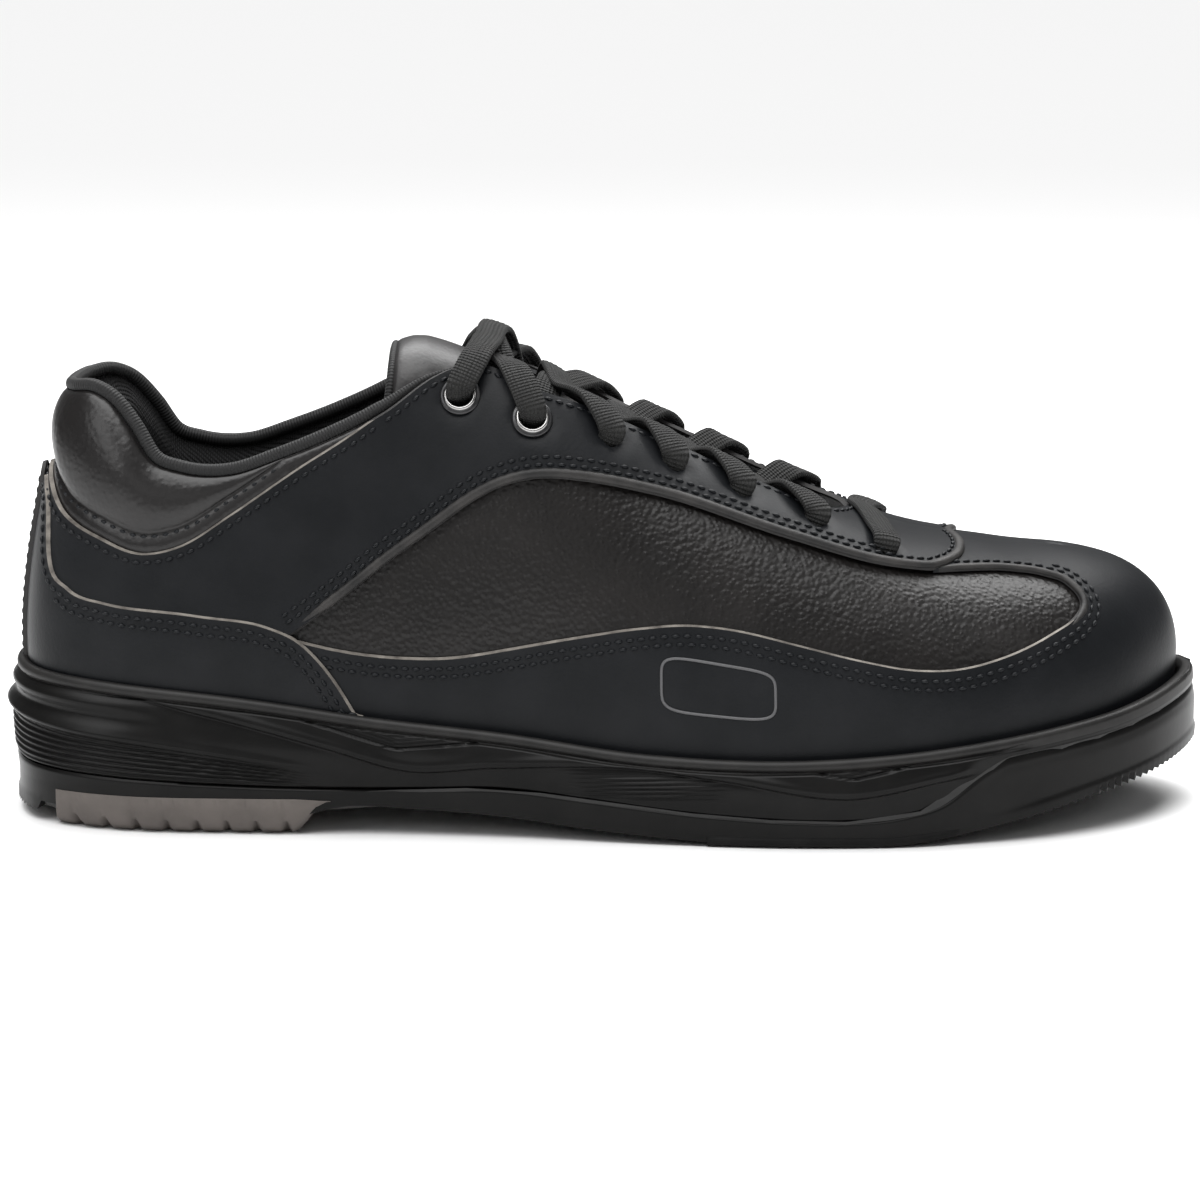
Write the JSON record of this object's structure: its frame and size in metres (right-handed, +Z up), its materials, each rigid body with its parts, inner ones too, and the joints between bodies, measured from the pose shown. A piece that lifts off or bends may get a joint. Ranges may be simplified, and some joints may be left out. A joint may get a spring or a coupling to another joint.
{
  "type": "bowling shoe",
  "caption": "Lace-up ten-pin bowling shoe for the right foot, with padded collar, cupped midsole, and a slide pad and heel pad that peel off hook-and-loop fields.",
  "frame": {"origin": "centre of the bounding box, on the ground plane under the sole pad and the heel pad", "axes": "+X from heel to toe, +Y towards the inner side of the foot, +Z up"},
  "size_m": [0.3064, 0.1064, 0.1241],
  "materials": {
    "smooth_leather": "smooth, semi-gloss, near-black",
    "grain_leather": "fine pebbled grain, near-black",
    "gloss_leather": "soft glossy, near-black",
    "binding": "woven binding, matt",
    "textile": "ribbed knit, matt",
    "foam": "open-cell foam, matt",
    "stiffener": "thermoplastic sheet, matt",
    "board": "cellulose board, matt",
    "nickel": "bright plated brass",
    "lace": "flat ribbed weave, matt",
    "aglet": "smooth, glossy",
    "midsole": "moulded foam rubber, satin",
    "outsole": "moulded rubber, satin",
    "hook": "hook field, matt",
    "loop": "loop pile, matt",
    "slide_pad": "napped microfibre, matt",
    "heel_rubber": "moulded rubber, warm grey, matt"
  },
  "bodies": {
    "shoe": {"heel_foxing": "smooth_leather", "quarter_lateral": "smooth_leather", "quarter_medial": "smooth_leather", "toe_guard": "smooth_leather", "back_stay": "smooth_leather", "side_panel_lateral": "grain_leather", "side_panel_medial": "grain_leather", "eyestay_facing_lateral": "textile", "eyestay_facing_medial": "textile", "heel_counter": "stiffener", "toe_puff": "stiffener", "collar_panel": "gloss_leather", "collar_foam": "foam", "collar_lining": "textile", "vamp_lining": "textile", "collar_binding": "binding", "eyelet_lower_lateral": "nickel", "eyelet_upper_lateral": "nickel", "eyelet_lower_medial": "nickel", "eyelet_upper_medial": "nickel", "midsole": "midsole", "outsole": "outsole", "sole_hook_field": "hook", "heel_hook_field": "hook", "insole_board": "board", "shoelace": "lace", "aglet_lateral": "aglet", "aglet_medial": "aglet"},
    "sole_pad": {"slide_sole_pad": "slide_pad", "sole_pad_loop_backing": "loop"},
    "heel_pad": {"heel_pad_rubber": "heel_rubber", "heel_pad_loop_backing": "loop"},
    "tongue": {"tongue_outer": "smooth_leather", "tongue_foam": "foam", "tongue_lining": "textile", "tongue_binding": "binding"},
    "footbed": {"footbed_foam": "foam", "footbed_cover": "textile"}
  },
  "joints": [
    {"name": "sole_pad_release", "type": "slide", "parent": "shoe", "child": "sole_pad", "axis": [0, 0, -1], "range_m": [0, 0.03]},
    {"name": "heel_pad_release", "type": "slide", "parent": "shoe", "child": "heel_pad", "axis": [0, 0, -1], "range_m": [0, 0.03]},
    {"name": "tongue_fold", "type": "hinge", "parent": "shoe", "child": "tongue", "pos_m": [0.0693, 0, 0.063], "axis": [0, 1, 0], "range_deg": [-5, 0]},
    {"name": "footbed_lift", "type": "hinge", "parent": "shoe", "child": "footbed", "pos_m": [0.1393, 0, 0.034], "axis": [0, 1, 0], "range_deg": [0, 4]}
  ]
}
